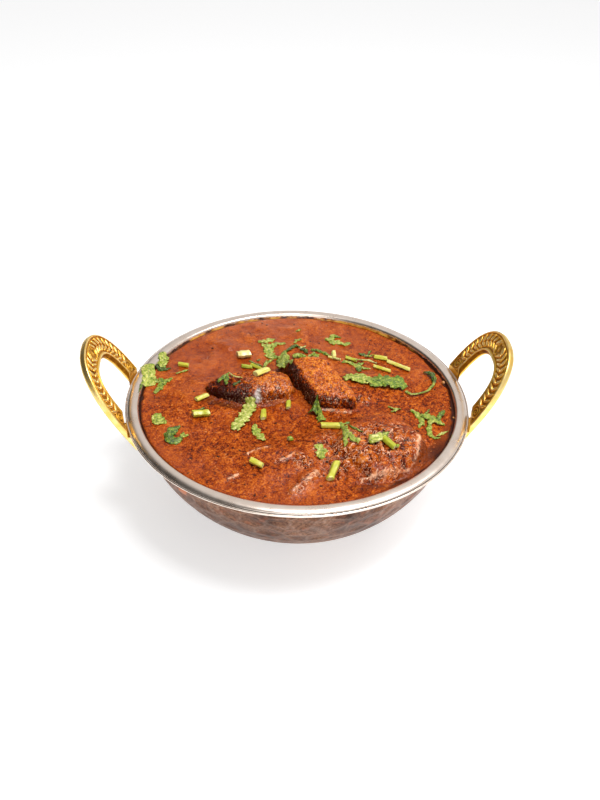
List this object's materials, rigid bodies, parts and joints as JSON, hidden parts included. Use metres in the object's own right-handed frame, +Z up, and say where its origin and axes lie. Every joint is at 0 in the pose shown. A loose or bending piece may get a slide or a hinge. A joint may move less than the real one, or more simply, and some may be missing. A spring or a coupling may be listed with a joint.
{
  "type": "mutton curry in a serving bowl",
  "caption": "Mutton curry with meat chunks, gravy and chopped coriander in a round two-handled steel and copper serving bowl.",
  "frame": {"origin": "centre of the underside of the bowl's flat foot", "axes": "+X along the line through the two handles, +Y to the back of the dish, +Z up"},
  "size_m": [0.1822, 0.15, 0.0777],
  "materials": {
    "satin_steel": "satin rolled stainless steel",
    "hammered_copper": "hammered, darkened copper, semi-matte",
    "cast_brass": "cast brass with an engraved face",
    "masala_gravy": "thick oily masala gravy, wet gloss",
    "braised_mutton": "gravy-coated braised meat, wet gloss",
    "coriander_leaf": "fresh leaf, satin",
    "coriander_stem": "cut stem, satin"
  },
  "bodies": {
    "root": {"bowl_liner": "satin_steel", "bowl_shell": "hammered_copper", "curry_gravy": "masala_gravy", "handle_left": "cast_brass", "handle_right": "cast_brass", "leaf_back": "coriander_leaf", "leaf_back_right": "coriander_leaf", "leaf_bud": "coriander_leaf", "leaf_edge_1": "coriander_leaf", "leaf_edge_2": "coriander_leaf", "leaf_edge_3": "coriander_leaf", "leaf_folded": "coriander_leaf", "leaf_forked": "coriander_leaf", "leaf_front_round": "coriander_leaf", "leaf_front_slim": "coriander_leaf", "leaf_left_back": "coriander_leaf", "leaf_left_curl": "coriander_leaf", "leaf_left_fan": "coriander_leaf", "leaf_left_front": "coriander_leaf", "leaf_long_front": "coriander_leaf", "leaf_on_back_mutton": "coriander_leaf", "leaf_over_lip": "coriander_leaf", "leaf_right_long": "coriander_leaf", "leaf_top_1": "coriander_leaf", "leaf_top_2": "coriander_leaf", "leaf_top_3": "coriander_leaf", "leaf_top_4": "coriander_leaf", "leaf_top_5": "coriander_leaf", "leaf_top_6": "coriander_leaf", "mutton_back_left": "braised_mutton", "mutton_front_right": "braised_mutton", "mutton_middle": "braised_mutton", "sprig_right": "coriander_leaf", "stem_back_cut": "coriander_stem", "stem_back_right": "coriander_stem", "stem_behind_mutton": "coriander_stem", "stem_by_bud": "coriander_stem", "stem_front": "coriander_stem", "stem_front_long": "coriander_stem", "stem_left": "coriander_stem", "stem_left_back": "coriander_stem", "stem_left_fat": "coriander_stem", "stem_middle": "coriander_stem", "stem_on_mutton": "coriander_stem", "stem_right_1": "coriander_stem", "stem_right_2": "coriander_stem", "stem_small": "coriander_stem", "stem_strip_1": "coriander_stem", "stem_strip_2": "coriander_stem"}
  },
  "joints": []
}
